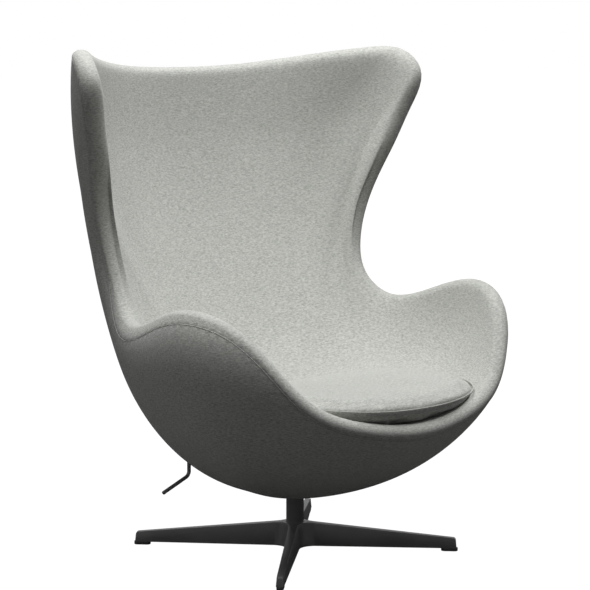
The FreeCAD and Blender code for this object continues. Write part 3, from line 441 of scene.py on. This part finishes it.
wool = {
    "light": (0.59, 0.595, 0.56),
    "dark": (0.30, 0.305, 0.285),
    "fibre": (0.80, 0.80, 0.76),
    "slubLong": 150.0,      # across the cloth, per metre
    "slubHigh": 560.0,      # up the cloth
    "grain": 420.0,
    "flecks": 900.0,
    "seamPitch": 0.020,     # how often the stitches pull the cloth (m)
    "thread": (0.16, 0.165, 0.155),
}


# Melange wool: short level slubs, a fine grain and a slow drift of tone
def woolFinish(name, withSeam):
    finish = Finish(name, Roughness=0.95, Sheen_Weight=0.25, Sheen_Roughness=0.6)
    finish.surface.inputs["Specular IOR Level"].default_value = 0.2
    place = finish.objectPlace()
    normal = finish.node("ShaderNodeNewGeometry", {}, {}, "Normal")
    upright = finish.node("ShaderNodeSeparateXYZ", {}, {"Vector": normal}, "Z")
    level = finish.smooth(upright * upright, 0.5, 0.85)
    long, high = wool["slubLong"], wool["slubHigh"]
    wall = finish.noise(finish.scaled(place, (long, long, high)), 1.0, 3.0, 0.6)
    flat = finish.noise(finish.scaled(place, (long, high, long)), 1.0, 3.0, 0.6)
    slub = wall * (1 - level) + flat * level
    grain = finish.noise(place, wool["grain"], 3.0, 0.7)
    drift = finish.noise(place, 3.0, 2.0)
    tone = finish.smooth(slub * 0.7 + grain * 0.3 + drift * 0.06, 0.33, 0.70)
    colour = finish.mix(tone, wool["dark"], wool["light"])
    flecks = finish.smooth(finish.noise(place, wool["flecks"], 1.0), 0.66, 0.74)
    colour = finish.mix(flecks * 0.5, colour, wool["fibre"])
    height = slub * 0.6 + grain * 0.4
    if withSeam:
        seamMap = finish.node("ShaderNodeUVMap", {"uv_map": "seamMap"}, {})
        depth = finish.node("ShaderNodeSeparateXYZ", {}, {"Vector": seamMap}, "Y")
        along = finish.node("ShaderNodeSeparateXYZ", {}, {"Vector": seamMap}, "X")
        near = 1 - finish.smooth(depth, 0.001, 0.007)
        phase = along * (2 * math.pi / wool["seamPitch"])
        pull = finish.node("ShaderNodeMath", {"operation": "SINE"}, {0: phase})
        colour = finish.mix(near * 0.25, colour, wool["thread"])
        height = height + near * pull * 0.9
    finish.set(Base_Color=colour, Normal=finish.bump(height, 0.0006, 0.8))
    return finish.material


# Powder coat: a fine orange-peel grain and slow, random clouds of a slightly paler tone
def coatFinish(name, colour, roughness, grain=1400.0):
    finish = Finish(name, Metallic=0.0)
    place = finish.objectPlace()
    peel = finish.noise(place, grain, 2.0, 0.6)
    cloud = finish.noise(place, 6.0, 3.0)
    paler = tuple(min(1, c * 1.5 + 0.01) for c in colour)
    tone = finish.mix(finish.smooth(cloud * 0.7 + peel * 0.3, 0.35, 0.75), colour, paler)
    rough = cloud * 0.12 + (roughness - 0.06)
    finish.set(Base_Color=tone, Roughness=rough, Normal=finish.bump(peel, 0.00015, 0.6))
    return finish.material


def metalFinish(name, colour, roughness):
    finish = Finish(name, Metallic=1.0)
    place = finish.objectPlace()
    brushed = finish.noise(finish.scaled(place, (40.0, 40.0, 900.0)), 1.0, 3.0)
    cloud = finish.noise(place, 9.0, 3.0)
    tone = finish.mix(cloud, tuple(c * 0.85 for c in colour), colour)
    rough = brushed * 0.18 + (roughness - 0.09)
    finish.set(Base_Color=tone, Roughness=rough, Normal=finish.bump(brushed, 0.00005, 0.5))
    return finish.material


def plainFinish(name, colour, roughness, grain, depth):
    finish = Finish(name)
    place = finish.objectPlace()
    speckle = finish.noise(place, grain, 4.0, 0.65)
    tone = finish.mix(finish.smooth(speckle, 0.3, 0.7), tuple(c * 0.75 for c in colour), colour)
    rough = speckle * 0.1 + (roughness - 0.05)
    finish.set(Base_Color=tone, Roughness=rough, Normal=finish.bump(speckle, depth, 0.6))
    return finish.material


finishes = {
    "wool": woolFinish("wool", True),
    "cushionWool": woolFinish("cushionWool", False),
    "thread": plainFinish("thread", wool["thread"], 0.8, 2500.0, 0.0002),
    "black_base": coatFinish("black_base", (0.17, 0.17, 0.171), 0.40),
    "black_steel": coatFinish("black_steel", (0.17, 0.17, 0.171), 0.34),
    "cast_head": coatFinish("cast_head", (0.08, 0.08, 0.082), 0.6, 500.0),
    "black_glide": plainFinish("black_glide", (0.03, 0.03, 0.03), 0.5, 900.0, 0.0001),
    "bearing_plastic": plainFinish("bearing_plastic", (0.05, 0.05, 0.05), 0.4, 700.0, 0.0001),
    "rubber_pad": plainFinish("rubber_pad", (0.03, 0.03, 0.03), 0.85, 1100.0, 0.0002),
    "zinc_steel": metalFinish("zinc_steel", (0.62, 0.62, 0.63), 0.32),
    "spring_steel": metalFinish("spring_steel", (0.36, 0.36, 0.37), 0.35),
    "moulded_core": plainFinish("moulded_core", (0.55, 0.50, 0.36), 0.55, 160.0, 0.0004),
    "board": plainFinish("board", (0.55, 0.42, 0.28), 0.7, 60.0, 0.0003),
    "foam": plainFinish("foam", (0.80, 0.76, 0.64), 0.95, 500.0, 0.0006),
}
slotOf = {s["node"]: s["material_slot"] for s in frame["record"]["subparts"]}
print("stage: finishes")


def dress(piece, finish):
    piece.data.materials.clear()
    piece.data.materials.append(finishes[finish])


for name, node in nodes.items():
    slot = slotOf[name]
    kind = {"wool": "cushionWool", "seam_thread": "thread"}.get(slot, slot)
    for place in node.material_slots:
        place.material = finishes[kind]
    if not node.material_slots:
        node.data.materials.append(finishes[kind])


# Rounded copy of a hard CAD piece: its sharp edges catch the light as the real ones do
def softenedCopy(nodeName, pieceName, radius, segments=3):
    mesh = nodes[nodeName].data.copy()
    mesh.name = pieceName
    merged = bmesh.new()
    merged.from_mesh(mesh)
    bmesh.ops.remove_doubles(merged, verts=merged.verts, dist=1e-5)
    bmesh.ops.dissolve_limit(merged, angle_limit=math.radians(0.8), verts=merged.verts, edges=merged.edges)
    bmesh.ops.recalc_face_normals(merged, faces=merged.faces)
    merged.to_mesh(mesh)
    merged.free()
    piece = linked(pieceName, mesh)
    bevel = piece.modifiers.new("edges", "BEVEL")
    bevel.width = radius
    bevel.segments = segments
    bevel.limit_method = "ANGLE"
    bevel.angle_limit = math.radians(32)
    bevel.harden_normals = False
    piece.data = finishedMesh(piece)
    piece.modifiers.clear()
    for face in piece.data.polygons:
        face.use_smooth = True
    piece.data.set_sharp_from_angle(angle=math.radians(40))
    return piece


cushion = {
    "halfWidth": 258.0, "front": 240.0, "back": 195.0, "place": 155.0, "middle": 349.0,
    "thick": 31.0, "crown": 7.0, "belly": 6.0, "sidesUp": 22.0, "slope": 0.05,
    "planPower": 2.6, "sidePower": 16.0, "frontDeep": 9.0,
    "around": 160, "rings": 14, "voxel": 0.005,
    "pressure": 3.5, "cap": 0.006, "frames": 20, "stiff": 25, "mass": 0.4,
}


def cushionPoint(turn, share, rise, lift):
    c, s = np.cos(turn), np.sin(turn)
    power = cushion["planPower"]
    reach = (np.abs(c) ** power + np.abs(s) ** power) ** (-1 / power)
    deep = np.where(s > 0, cushion["back"], cushion["front"])
    x = cushion["halfWidth"] * reach * c * share
    y = deep * reach * s * share
    z = cushion["middle"] + cushion["sidesUp"] * (x / cushion["halfWidth"]) ** 2
    z = z + rise - cushion["slope"] * y
    under = np.clip(-rise / cushion["thick"] * 2, 0, 1) * np.clip(-y / cushion["front"], 0, 1)
    z = z - cushion["frontDeep"] * under * (2 - under)
    return np.stack([x, y - cushion["place"], z + lift * (1 - share ** 2)], -1)


def makeCushion():
    around, steps = cushion["around"], cushion["rings"]
    turn = 2 * np.pi * np.arange(around) / around
    spots = []
    for side in (1, -1):
        lift = cushion["crown"] if side > 0 else -cushion["belly"]
        angles = np.pi / 2 * np.linspace(0, 1, steps) ** 0.8
        for k, angle in enumerate(angles):
            if side < 0 and k == 0:
                continue
            share = max(math.cos(angle), 0) ** (2 / cushion["sidePower"])
            rise = side * math.sin(angle) * cushion["thick"] / 2
            spots.append(cushionPoint(turn, max(share, 0.02), rise, lift))
    rings = np.array(spots)
    top = list(range(steps))
    under = [0] + list(range(steps, 2 * steps - 1))
    faces = []
    for order, flip in ((top, False), (under, True)):
        for a, b in zip(order, order[1:]):
            for k in range(around):
                ahead = (k + 1) % around
                quad = [a * around + k, a * around + ahead, b * around + ahead, b * around + k]
                faces.append(quad[::-1] if flip else quad)
        last = [order[-1] * around + k for k in range(around)]
        faces.append(last[::-1] if flip else last)
    mesh = bpy.data.meshes.new("seat_cushion")
    mesh.from_pydata((rings.reshape(-1, 3) * milli).tolist(), [], faces)
    piece = linked("seat_cushion", mesh)
    remesh = piece.modifiers.new("remesh", "REMESH")
    remesh.mode = "VOXEL"
    remesh.voxel_size = cushion["voxel"]
    piece.data = finishedMesh(piece)
    piece.modifiers.clear()
    return piece


# Cushion filled by air pressure, so its cloth swells and wrinkles a little, with no point moved too far
def swell(piece):
    start = np.zeros(len(piece.data.vertices) * 3)
    piece.data.vertices.foreach_get("co", start)
    cloth = piece.modifiers.new("cloth", "CLOTH")
    cloth.settings.use_pressure = True
    cloth.settings.uniform_pressure_force = cushion["pressure"]
    cloth.settings.effector_weights.gravity = 0
    cloth.settings.tension_stiffness = cushion["stiff"]
    cloth.settings.compression_stiffness = cushion["stiff"]
    cloth.settings.mass = cushion["mass"]
    for step in range(1, cushion["frames"] + 1):
        bpy.context.scene.frame_set(step)
    swollen = finishedMesh(piece)
    end = np.zeros(len(swollen.vertices) * 3)
    swollen.vertices.foreach_get("co", end)
    move = (end - start).reshape(-1, 3)
    size = np.linalg.norm(move, axis=1, keepdims=True)
    move *= np.minimum(1, cushion["cap"] / np.maximum(size, 1e-9))
    swollen.vertices.foreach_set("co", (start.reshape(-1, 3) + move).ravel())
    piece.modifiers.clear()
    piece.data = swollen
    bpy.context.scene.frame_set(1)


print("stage: cushion")
cushionPiece = makeCushion()
swell(cushionPiece)
subdivide = cushionPiece.modifiers.new("smooth", "SUBSURF")
subdivide.levels = subdivide.render_levels = 1
cushionPiece.data = finishedMesh(cushionPiece)
cushionPiece.modifiers.clear()
for face in cushionPiece.data.polygons:
    face.use_smooth = True


# Closed poly curve that a row of stitches follows
def closedLine(name, spots):
    curve = bpy.data.curves.new(name, "CURVE")
    curve.dimensions = "3D"
    line = curve.splines.new("POLY")
    line.points.add(len(spots) - 1)
    line.points.foreach_set("co", np.concatenate([spots * milli, np.ones((len(spots), 1))], 1).ravel())
    line.use_cyclic_u = True
    return linked(name, curve)


# Sizes of a row of stitches (m); the cushion's finer row changes some of them
rimStitch = {"Pitch": 0.018, "Thread Length": 0.006, "Thread Radius": 0.0008, "Bead Radius": 0.0009}
cushionStitch = {**rimStitch, "Pitch": 0.012, "Thread Length": 0.004, "Bead Radius": 0.0014}


# Stitches along a line: short rounded threads at an even pitch, over a fine bead
def stitchTree(threadFinish, beadFinish):
    tree = bpy.data.node_groups.new("stitches", "GeometryNodeTree")
    face = tree.interface
    face.new_socket("Geometry", in_out="INPUT", socket_type="NodeSocketGeometry")
    for label, value in rimStitch.items():
        socket = face.new_socket(label, in_out="INPUT", socket_type="NodeSocketFloat")
        socket.default_value = value
    face.new_socket("Geometry", in_out="OUTPUT", socket_type="NodeSocketGeometry")
    new = tree.nodes.new
    link = tree.links.new
    start, end = new("NodeGroupInput"), new("NodeGroupOutput")
    spaced = new("GeometryNodeResampleCurve")
    spaced.mode = "LENGTH"
    link(start.outputs["Geometry"], spaced.inputs["Curve"])
    link(start.outputs["Pitch"], spaced.inputs["Length"])
    places = new("GeometryNodeCurveToPoints")
    places.mode = "EVALUATED"
    link(spaced.outputs[0], places.inputs["Curve"])
    thread = new("GeometryNodeMeshUVSphere")
    thread.inputs["Segments"].default_value = 8
    thread.inputs["Rings"].default_value = 6
    thread.inputs["Radius"].default_value = 1.0
    shape = new("ShaderNodeCombineXYZ")
    link(start.outputs["Thread Radius"], shape.inputs["X"])
    link(start.outputs["Thread Radius"], shape.inputs["Y"])
    half = new("ShaderNodeMath")
    half.operation = "MULTIPLY"
    half.inputs[1].default_value = 0.5
    link(start.outputs["Thread Length"], half.inputs[0])
    link(half.outputs[0], shape.inputs["Z"])
    put = new("GeometryNodeInstanceOnPoints")
    link(places.outputs["Points"], put.inputs["Points"])
    link(thread.outputs["Mesh"], put.inputs["Instance"])
    link(places.outputs["Rotation"], put.inputs["Rotation"])
    link(shape.outputs[0], put.inputs["Scale"])
    ring = new("GeometryNodeCurvePrimitiveCircle")
    ring.inputs["Resolution"].default_value = 8
    link(start.outputs["Bead Radius"], ring.inputs["Radius"])
    bead = new("GeometryNodeCurveToMesh")
    link(start.outputs["Geometry"], bead.inputs["Curve"])
    link(ring.outputs[0], bead.inputs["Profile Curve"])
    join = new("GeometryNodeJoinGeometry")
    for source, finish in ((put, threadFinish), (bead, beadFinish)):
        real = new("GeometryNodeRealizeInstances")
        link(source.outputs[0], real.inputs[0])
        paint = new("GeometryNodeSetMaterial")
        paint.inputs["Material"].default_value = finish
        link(real.outputs[0], paint.inputs["Geometry"])
        link(paint.outputs[0], join.inputs[0])
    link(join.outputs[0], end.inputs[0])
    return tree


def stitchedSeam(name, spots, sizes):
    line = closedLine(name + "_line", spots)
    work = line.modifiers.new("stitches", "NODES")
    work.node_group = stitches
    for item in stitches.interface.items_tree:
        if item.in_out == "INPUT" and item.name in sizes:
            work[item.identifier] = sizes[item.name]
    piece = linked(name, finishedMesh(line))
    bpy.data.objects.remove(line)
    for face in piece.data.polygons:
        face.use_smooth = True
    return piece


stitches = stitchTree(finishes["thread"], finishes["cushionWool"])
seamMarks = np.arange(800) * rimLength / 800
seamDown = np.maximum(alongRim(seamMarks, "seamDown"), 0)[:, None]
seamLevels = levelsBelowRim(core, seamMarks, seamDown)
seamSpots = core.offset(seamMarks, seamLevels, np.array([egg["roll"] - upholstery["groove"]]))[:, 0]
rimSeam = stitchedSeam("rim_stitching", seamSpots, rimStitch)
turns = 2 * np.pi * np.arange(360) / 360
cushionSeam = stitchedSeam("cushion_stitching", cushionPoint(turns, 1.0, 0, 0), cushionStitch)
print("stage: seams")

dress(outerPiece, "wool")
dress(innerPiece, "wool")
dress(cushionPiece, "cushionWool")
for piece, replaced, slot in (
        (outerPiece, ("outer_cover", "outer_foam"), "wool"),
        (innerPiece, ("inner_cover", "inner_foam"), "wool"),
        (rimSeam, ("rim_seam",), "seam_thread"),
        (cushionPiece, ("cushion_foam", "cushion_top_cover", "cushion_under_cover"), "wool"),
        (cushionSeam, ("cushion_seam",), "seam_thread")):
    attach(piece, "shell")
    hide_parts(*replaced)

hardParts = {
    "star_base": ("base_legs", "base", 0.0012),
    "column_tube": ("column", "base", 0.0006),
    "lever_rod": ("brake_lever", "lever", 0.0012),
    "glide_back_left": ("foot_back_left", "base", 0.0008),
    "glide_back_right": ("foot_back_right", "base", 0.0008),
    "glide_front_left": ("foot_front_left", "base", 0.0008),
    "glide_front_right": ("foot_front_right", "base", 0.0008),
}
for nodeName, (pieceName, body, radius) in hardParts.items():
    piece = softenedCopy(nodeName, pieceName, radius)
    dress(piece, slotOf[nodeName])
    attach(piece, body)
    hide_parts(nodeName)
print("stage: hard parts")

# Floor, light and camera
studio = {
    "lens": 128.1, "azimuth": 40.0, "pitch": 7.54, "distance": 4.416, "height": 1.133,
    "floor": 0.35, "shadowShare": 0.25, "glow": 1.36, "bounce": 0.10, "world": 0.10, "shine": 0.8,
}


def whiteFloor():
    mesh = bpy.data.meshes.new("floor")
    half = 30.0
    corners = [(-half, -half, 0), (half, -half, 0), (half, half, 0), (-half, half, 0)]
    mesh.from_pydata(corners, [], [(0, 1, 2, 3)])
    floor = linked("floor", mesh)
    material = bpy.data.materials.new("floorWhite")
    material.use_nodes = True
    tree = material.node_tree
    tree.nodes.clear()
    paint = tree.nodes.new("ShaderNodeBsdfDiffuse")
    paint.inputs["Color"].default_value = (studio["floor"],) * 3 + (1,)
    dark = tree.nodes.new("ShaderNodeBsdfDiffuse")
    dark.inputs["Color"].default_value = (studio["bounce"],) * 3 + (1,)
    glow = tree.nodes.new("ShaderNodeEmission")
    glow.inputs["Strength"].default_value = studio["glow"]
    seen = tree.nodes.new("ShaderNodeMixShader")
    seen.inputs[0].default_value = 1 - studio["shadowShare"]
    tree.links.new(paint.outputs[0], seen.inputs[1])
    tree.links.new(glow.outputs[0], seen.inputs[2])
    rays = tree.nodes.new("ShaderNodeLightPath")
    mixed = tree.nodes.new("ShaderNodeMixShader")
    tree.links.new(rays.outputs["Is Camera Ray"], mixed.inputs[0])
    tree.links.new(dark.outputs[0], mixed.inputs[1])
    tree.links.new(seen.outputs[0], mixed.inputs[2])
    out = tree.nodes.new("ShaderNodeOutputMaterial")
    tree.links.new(mixed.outputs[0], out.inputs[0])
    mesh.materials.append(material)


def whiteWorld():
    world = bpy.data.worlds.new("studio")
    bpy.context.scene.world = world
    world.use_nodes = True
    tree = world.node_tree
    tree.nodes.clear()
    light = tree.nodes.new("ShaderNodeBackground")
    light.inputs["Strength"].default_value = studio["world"]
    white = tree.nodes.new("ShaderNodeBackground")
    white.inputs["Color"].default_value = (1, 1, 1, 1)
    light.inputs["Color"].default_value = (1, 1, 1, 1)
    rays = tree.nodes.new("ShaderNodeLightPath")
    mixed = tree.nodes.new("ShaderNodeMixShader")
    out = tree.nodes.new("ShaderNodeOutputWorld")
    shine = tree.nodes.new("ShaderNodeBackground")
    shine.inputs["Color"].default_value = (1, 1, 1, 1)
    shine.inputs["Strength"].default_value = studio["shine"]
    around = tree.nodes.new("ShaderNodeMixShader")
    tree.links.new(rays.outputs["Is Glossy Ray"], around.inputs[0])
    tree.links.new(light.outputs[0], around.inputs[1])
    tree.links.new(shine.outputs[0], around.inputs[2])
    tree.links.new(rays.outputs["Is Camera Ray"], mixed.inputs[0])
    tree.links.new(around.outputs[0], mixed.inputs[1])
    tree.links.new(white.outputs[0], mixed.inputs[2])
    tree.links.new(mixed.outputs[0], out.inputs[0])


def softLamp(name, place, aim, size, power):
    data = bpy.data.lights.new(name, "AREA")
    data.shape = "DISK"
    data.size = size
    data.energy = power
    lamp = bpy.data.objects.new(name, data)
    bpy.context.scene.collection.objects.link(lamp)
    lamp.location = place
    lamp.rotation_euler = (Vector(aim) - Vector(place)).to_track_quat("-Z", "Y").to_euler()


def photoCamera():
    turn = math.radians(studio["azimuth"])
    data = bpy.data.cameras.new("camera")
    data.lens = studio["lens"]
    data.sensor_width = 36
    camera = bpy.data.objects.new("camera", data)
    bpy.context.scene.collection.objects.link(camera)
    away = studio["distance"]
    camera.location = (-away * math.sin(turn), -away * math.cos(turn), studio["height"])
    camera.rotation_euler = (math.radians(90 - studio["pitch"]), 0, -turn)
    bpy.context.scene.camera = camera


whiteFloor()
whiteWorld()
softLamp("overhead", (-0.15, -0.4, 3.3), (0, 0, 0.6), 2.4, 112)
softLamp("side", (-3.4, 0.9, 1.5), (0, 0, 0.7), 1.8, 7)
photoCamera()
bpy.context.scene.view_settings.view_transform = "Standard"
print("stage: studio")
